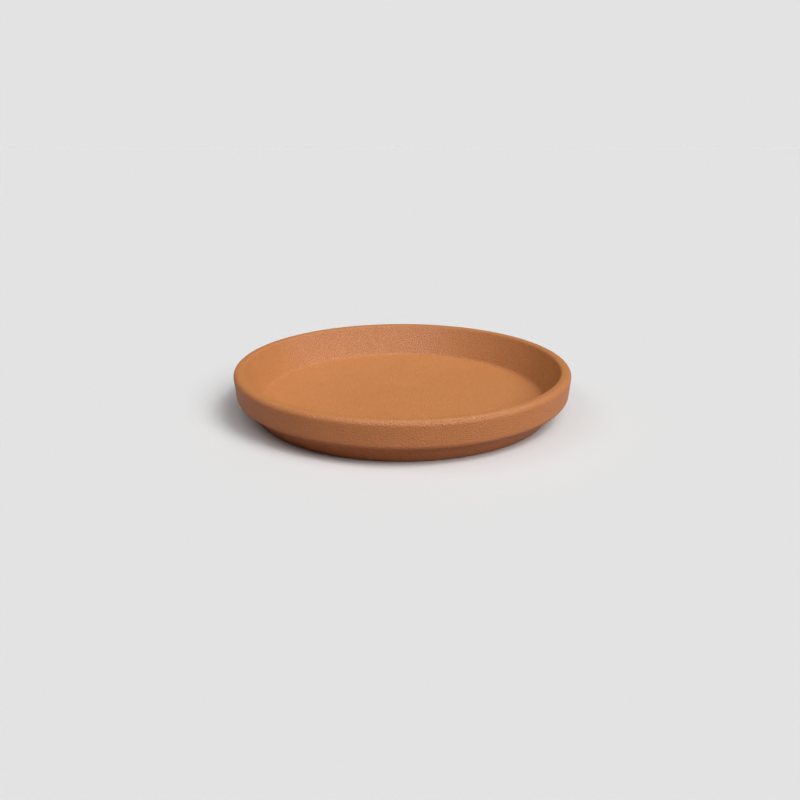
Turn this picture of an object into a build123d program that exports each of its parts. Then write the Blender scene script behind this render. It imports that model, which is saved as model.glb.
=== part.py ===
from build123d import *
from math import radians, tan
import os

# Plant saucer in unglazed fired clay, one solid body of revolution.
# Lengths are in millimetres and angles in degrees.
# The origin is the centre of the foot on the ground, and +Z is up along the axis of revolution.

# Overall size
rim_diameter = 300.0
height = 40.3

# Rim: the land between the outer and the inner rounding
rim_thickness = 8.8
rim_outer_rounding = 4.4
rim_inner_rounding = 3.4

# Collar band: the tall outer face under the rim, which narrows downwards and has a soft lower edge
band_depth = 25.1
band_draft_angle = 5.0
band_lower_rounding = 5.6

# Lower wall: set back under the band, and tapering in to the foot
lower_wall_set_back = 6.3
lower_wall_corner_rounding = 1.4
foot_diameter = 262.0
foot_edge_rounding = 3.0

# Inside: a flat floor, a soft corner and a wall that flares up to the rim
floor_level = 11.7
floor_diameter = 251.2
floor_corner_rounding = 5.0

# Underside: a shallow recess leaves a foot ring to stand on
foot_ring_width = 14.0
recess_depth = 2.4
recess_corner_rounding = 1.0

# Places worked out from the sizes above
axis = 0
ground = 0
quarter_turn = 90
rim_radius = rim_diameter / 2
rim_inner_radius = rim_radius - rim_thickness
# The rounding cuts this corner back to the rim radius, which is the widest that the saucer gets.
rim_corner_opening = (quarter_turn + band_draft_angle) / 2
rim_corner_radius = rim_radius + rim_outer_rounding * (tan(radians(rim_corner_opening)) - 1)
band_underside = height - band_depth
band_lower_radius = rim_corner_radius - band_depth * tan(radians(band_draft_angle))
lower_wall_top_radius = band_lower_radius - lower_wall_set_back
foot_radius = foot_diameter / 2
floor_radius = floor_diameter / 2
recess_radius = foot_radius - foot_ring_width


def half_section():
    """The half section of the saucer on the XZ plane, from the axis out to the band."""
    corners = [
        ((axis, recess_depth), 0),
        ((recess_radius - recess_depth, recess_depth), recess_corner_rounding),
        ((recess_radius, ground), recess_corner_rounding),
        ((foot_radius, ground), foot_edge_rounding),
        ((lower_wall_top_radius, band_underside), lower_wall_corner_rounding),
        ((band_lower_radius, band_underside), band_lower_rounding),
        ((rim_corner_radius, height), rim_outer_rounding),
        ((rim_inner_radius, height), rim_inner_rounding),
        ((floor_radius, floor_level), floor_corner_rounding),
        ((axis, floor_level), 0),
    ]
    points = [point for point, rounding in corners]
    roundings = [rounding for point, rounding in corners]
    outline = FilletPolyline(*points, radius=roundings, close=True)
    return Plane.XZ * make_face(outline)


saucer = revolve(half_section(), Axis.Z)

os.makedirs("parts", exist_ok=True)
export_step(saucer, "parts/saucer.step")
print("saucer:", round(saucer.volume), "cubic mm")
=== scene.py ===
import math

import bmesh
import bpy
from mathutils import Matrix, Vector, noise


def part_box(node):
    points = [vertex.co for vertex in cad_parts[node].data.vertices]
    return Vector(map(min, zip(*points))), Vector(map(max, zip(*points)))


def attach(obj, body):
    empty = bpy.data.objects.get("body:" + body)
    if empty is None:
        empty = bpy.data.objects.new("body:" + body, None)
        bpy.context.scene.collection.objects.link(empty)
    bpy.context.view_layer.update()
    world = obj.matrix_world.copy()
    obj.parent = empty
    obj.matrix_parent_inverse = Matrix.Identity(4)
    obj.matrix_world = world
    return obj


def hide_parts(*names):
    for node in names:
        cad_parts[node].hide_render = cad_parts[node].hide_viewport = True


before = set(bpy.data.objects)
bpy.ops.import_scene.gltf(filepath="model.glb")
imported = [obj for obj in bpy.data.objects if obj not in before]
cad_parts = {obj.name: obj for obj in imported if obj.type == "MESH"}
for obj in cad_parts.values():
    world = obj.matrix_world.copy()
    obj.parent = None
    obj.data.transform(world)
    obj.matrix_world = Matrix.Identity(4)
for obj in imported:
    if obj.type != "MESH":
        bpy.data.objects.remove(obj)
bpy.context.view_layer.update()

# The saucer
# One body of terracotta, pressed in a mould while the clay is soft, wiped with a wet sponge, dried and
# fired without a glaze. Sponge and mould leave soft edges and a surface that is never quite even.
mm = 0.001
saucer_low, saucer_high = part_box("saucer")
rim_radius = (saucer_high.x - saucer_low.x) / 2
saucer_height = saucer_high.z
rim_thickness = 8.8 * mm
rim_outer_rounding = 4.4 * mm
rim_inner_rounding = 3.4 * mm
band_depth = 25.1 * mm
band_draft = math.radians(5)
band_lower_rounding = 5.6 * mm
lower_wall_set_back = 6.3 * mm
lower_wall_rounding = 1.4 * mm
foot_radius = 131.0 * mm
foot_edge_rounding = 3.0 * mm
floor_level = 11.7 * mm
floor_radius = 125.6 * mm
floor_corner_rounding = 5.0 * mm
foot_ring_width = 14.0 * mm
recess_depth = 2.4 * mm
recess_rounding = 1.0 * mm

ring_spacing = 2.2 * mm
arc_step = math.radians(9)
segments_at_rim = 384
segments_near_middle = 12
on_axis = ring_spacing / 4
unevenness = 0.10 * mm
uneven_wave = 38 * mm
sponge_marks = 0.03 * mm
sponge_wave = 9 * mm


def corner_arc(before, corner, after, rounding):
    """Points of the arc that rounds one corner of the section."""
    to_before = (before - corner).normalized()
    to_after = (after - corner).normalized()
    half_angle = to_before.angle(to_after) / 2
    tangent = rounding / math.tan(half_angle)
    centre = corner + (to_before + to_after).normalized() * rounding / math.sin(half_angle)
    start = corner + to_before * tangent - centre
    end = corner + to_after * tangent - centre
    turn = start.angle(end)
    steps = max(2, math.ceil(turn / arc_step))
    points = []
    for i in range(steps + 1):
        share = i / steps
        spoke = start * math.sin((1 - share) * turn) + end * math.sin(share * turn)
        points.append(centre + spoke / math.sin(turn))
    return points


def section_points():
    """The half section from the middle of the underside, out over the rim and in to the floor's middle."""
    rim_corner = rim_radius + rim_outer_rounding * (math.tan(math.pi / 4 + band_draft / 2) - 1)
    band_bottom = saucer_height - band_depth
    band_bottom_radius = rim_corner - band_depth * math.tan(band_draft)
    recess_radius = foot_radius - foot_ring_width
    corners = [
        (0, recess_depth, 0),
        (recess_radius - recess_depth, recess_depth, recess_rounding),
        (recess_radius, 0, recess_rounding),
        (foot_radius, 0, foot_edge_rounding),
        (band_bottom_radius - lower_wall_set_back, band_bottom, lower_wall_rounding),
        (band_bottom_radius, band_bottom, band_lower_rounding),
        (rim_corner, saucer_height, rim_outer_rounding),
        (rim_radius - rim_thickness, saucer_height, rim_inner_rounding),
        (floor_radius, floor_level, floor_corner_rounding),
        (0, floor_level, 0),
    ]
    places = [Vector((radius, 0, z)) for radius, z, rounding in corners]
    points = [places[0]]
    for i in range(1, len(corners)):
        rounding = corners[i][2]
        arc = [places[i]]
        if rounding:
            arc = corner_arc(places[i - 1], places[i], places[i + 1], rounding)
        start = points[-1]
        run = arc[0] - start
        steps = max(1, round(run.length / ring_spacing))
        points += [start + run * (j / steps) for j in range(1, steps)]
        points += arc
    return points


def segments_on(radius):
    """How many segments a ring of this radius takes: half as many each time the radius halves."""
    segments = segments_at_rim
    while segments > segments_near_middle and radius < rim_radius * 0.5 * segments / segments_at_rim:
        segments //= 2
    return segments


def join_rings(form, one, other):
    """Faces between two rings with as many segments each, or twice as many in one, or one that is a point."""
    few, many = sorted((one, other), key=len)
    if len(few) == 1:
        for k in range(len(many)):
            form.faces.new((few[0], many[k], many[(k + 1) % len(many)]))
    elif len(few) == len(many):
        for k in range(len(many)):
            after = (k + 1) % len(many)
            form.faces.new((few[k], few[after], many[after], many[k]))
    else:
        for k in range(len(few)):
            after = (k + 1) % len(few)
            left, middle, right = many[2 * k], many[2 * k + 1], many[(2 * k + 2) % len(many)]
            form.faces.new((few[k], left, middle))
            form.faces.new((few[k], middle, few[after]))
            form.faces.new((few[after], middle, right))


def turned_body(name, section):
    """The section turned about +Z as a mesh of rings, closed by a fan at each end."""
    form = bmesh.new()
    rings = []
    for point in section:
        if point.x < on_axis:
            rings.append([form.verts.new(point)])
            continue
        segments = segments_on(point.x)
        ring = []
        for k in range(segments):
            angle = 2 * math.pi * k / segments
            ring.append(form.verts.new((point.x * math.cos(angle), point.x * math.sin(angle), point.z)))
        rings.append(ring)
    for inner, outer in zip(rings, rings[1:]):
        join_rings(form, inner, outer)
    bmesh.ops.recalc_face_normals(form, faces=form.faces)
    mesh = bpy.data.meshes.new(name)
    form.to_mesh(mesh)
    form.free()
    body = bpy.data.objects.new(name, mesh)
    bpy.context.scene.collection.objects.link(body)
    return body


def uneven(body):
    """Draws the surface in a little, more here and less there, as pressing, sponging and firing do."""
    mesh = body.data
    normals = [vertex.normal.copy() for vertex in mesh.vertices]
    for vertex, normal in zip(mesh.vertices, normals):
        broad = noise.noise(vertex.co / uneven_wave) * unevenness
        close = noise.noise(vertex.co / sponge_wave) * sponge_marks
        vertex.co -= normal * (unevenness + sponge_marks + broad + close) / 2
    mesh.update()


saucer = turned_body("saucer_body", section_points())
uneven(saucer)
for face in saucer.data.polygons:
    face.use_smooth = True


def linear(hex_colour):
    """A colour written as sRGB hex, in the linear light that a shader takes, with its alpha."""
    parts = [int(hex_colour[i:i + 2], 16) / 255 for i in (1, 3, 5)]
    return (*[p / 12.92 if p <= 0.04045 else ((p + 0.055) / 1.055) ** 2.4 for p in parts], 1)


def add_node(material, kind, settings=None, values=None, links=None):
    """Adds a node with its settings, its socket values and the outputs that feed its sockets."""
    node = material.node_tree.nodes.new(kind)
    for name, setting in (settings or {}).items():
        setattr(node, name, setting)
    for socket, value in (values or {}).items():
        node.inputs[socket].default_value = value
    for socket, output in (links or {}).items():
        material.node_tree.links.new(output, node.inputs[socket])
    return node


# Unglazed terracotta: a red earthenware body, sponged while damp and fired. It is matt with a low sheen,
# nearly even in colour, and each grain of sand in the clay stands out a little and has a tone of its own.
# The real sand is about 0.3 mm, and is drawn about three times as coarse so that it shows at this distance.
clay_light = "#D08B55"
clay_dark = "#BF7C49"
sand_grain = 1.0 * mm
grain_depth = 0.48 * mm
cloud_width = 30 * mm
cloud_detail = 3
speckle = 0.5
low_sheen = 0.34
dry_clay = 0.5

terracotta = bpy.data.materials.new("unglazed_terracotta")
terracotta.use_nodes = True
clay = terracotta.node_tree.nodes["Principled BSDF"]
clay.inputs["Roughness"].default_value = low_sheen
clay.inputs["Diffuse Roughness"].default_value = dry_clay
place = add_node(terracotta, "ShaderNodeTexCoord").outputs["Object"]
clouds = add_node(terracotta, "ShaderNodeTexNoise",
                  values={"Scale": 1 / cloud_width, "Detail": cloud_detail},
                  links={"Vector": place})
sand = add_node(terracotta, "ShaderNodeTexVoronoi", values={"Scale": 1 / sand_grain},
                links={"Vector": place})
speckled = add_node(terracotta, "ShaderNodeMix", values={"Factor": speckle},
                    links={"A": clouds.outputs["Fac"], "B": sand.outputs["Color"]})
tone = add_node(terracotta, "ShaderNodeMix", {"data_type": "RGBA"},
                {"A": linear(clay_dark), "B": linear(clay_light)}, {"Factor": speckled.outputs["Result"]})
grain = add_node(terracotta, "ShaderNodeBump", {"invert": True}, {"Strength": 1, "Distance": grain_depth},
                 {"Height": sand.outputs["Distance"]})
terracotta.node_tree.links.new(tone.outputs["Result"], clay.inputs["Base Color"])
terracotta.node_tree.links.new(grain.outputs["Normal"], clay.inputs["Normal"])
saucer.data.materials.append(terracotta)
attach(saucer, "root")
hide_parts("saucer")

# The ground
# A plain pale sheet, wide enough to fill the view. The camera sees it in its own pale grey, and the light
# that it throws back up at the clay is weaker and a little warmer.
ground_size = 12.0
paper_seen = "#E1E1E1"
paper_glow = "#B09B9B"
bpy.ops.mesh.primitive_plane_add(size=ground_size)
ground = bpy.context.object
ground.name = "ground"
sheet = bpy.data.materials.new("matt_paper")
sheet.use_nodes = True
paper = sheet.node_tree.nodes["Principled BSDF"]
paper.inputs["Roughness"].default_value = 1.0
paper.inputs["Specular IOR Level"].default_value = 0.0
seen_by = add_node(sheet, "ShaderNodeLightPath")
shade = add_node(sheet, "ShaderNodeMix", {"data_type": "RGBA"},
                 {"A": linear(paper_glow), "B": linear(paper_seen)},
                 {"Factor": seen_by.outputs["Is Camera Ray"]})
sheet.node_tree.links.new(shade.outputs["Result"], paper.inputs["Base Color"])
ground.data.materials.append(sheet)

# The light
# A plain studio: four soft boxes side by side at the front right, one of them low, and weaker ones in front,
# on the left, behind and overhead that keep the shade open. The room shows only as the pale wall behind.
# Each lamp has the angle around the saucer, the height above the ground and the width, all in degrees.
wall_seen = "#E3E3E3"
wall_glow = "#000000"
lamps = [
    ("key_low", 318, 35, 22, 1.00),
    ("key_left", 305, 55, 22, 0.62),
    ("key_middle", 320, 55, 22, 0.73),
    ("key_right", 340, 55, 22, 0.44),
    ("front_low_fill", 290, 30, 22, 0.12),
    ("front_fill", 270, 55, 22, 0.41),
    ("left_front_fill", 225, 50, 30, 0.22),
    ("left_fill", 180, 50, 30, 0.36),
    ("back_fill", 60, 50, 60, 0.20),
    ("top_fill", 300, 80, 40, 0.17),
]
for name, around, height, width, strength in lamps:
    lamp = bpy.data.lights.new(name, "SUN")
    lamp.energy = strength
    lamp.angle = math.radians(width)
    stand = bpy.data.objects.new(name, lamp)
    turn, rise = math.radians(around), math.radians(height)
    towards = Vector((math.cos(turn), math.sin(turn), math.tan(rise)))
    stand.rotation_euler = towards.to_track_quat("Z", "Y").to_euler()
    bpy.context.scene.collection.objects.link(stand)

room = bpy.data.worlds.new("room")
room.use_nodes = True
seen_by = add_node(room, "ShaderNodeLightPath")
wall = add_node(room, "ShaderNodeMix", {"data_type": "RGBA"},
                {"A": linear(wall_glow), "B": linear(wall_seen)},
                {"Factor": seen_by.outputs["Is Camera Ray"]})
backdrop = room.node_tree.nodes["Background"]
room.node_tree.links.new(wall.outputs["Result"], backdrop.inputs["Color"])
bpy.context.scene.world = room

# The camera
# It stands in front of the saucer and looks a little down at it.
camera_distance = 765 * mm
camera_elevation = math.radians(19.13)
camera_aim = Vector((-2.1, 3.6, 3.75)) * mm
camera_lens = 37.4
sensor_width = 36
lens = bpy.data.cameras.new("camera")
lens.sensor_width = sensor_width
lens.lens = camera_lens
camera = bpy.data.objects.new("camera", lens)
towards_camera = Vector((0, -math.cos(camera_elevation), math.sin(camera_elevation)))
camera.location = camera_aim + camera_distance * towards_camera
camera.rotation_euler = (math.pi / 2 - camera_elevation, 0, 0)
bpy.context.scene.collection.objects.link(camera)
bpy.context.scene.camera = camera

bpy.context.scene.view_settings.view_transform = "Standard"
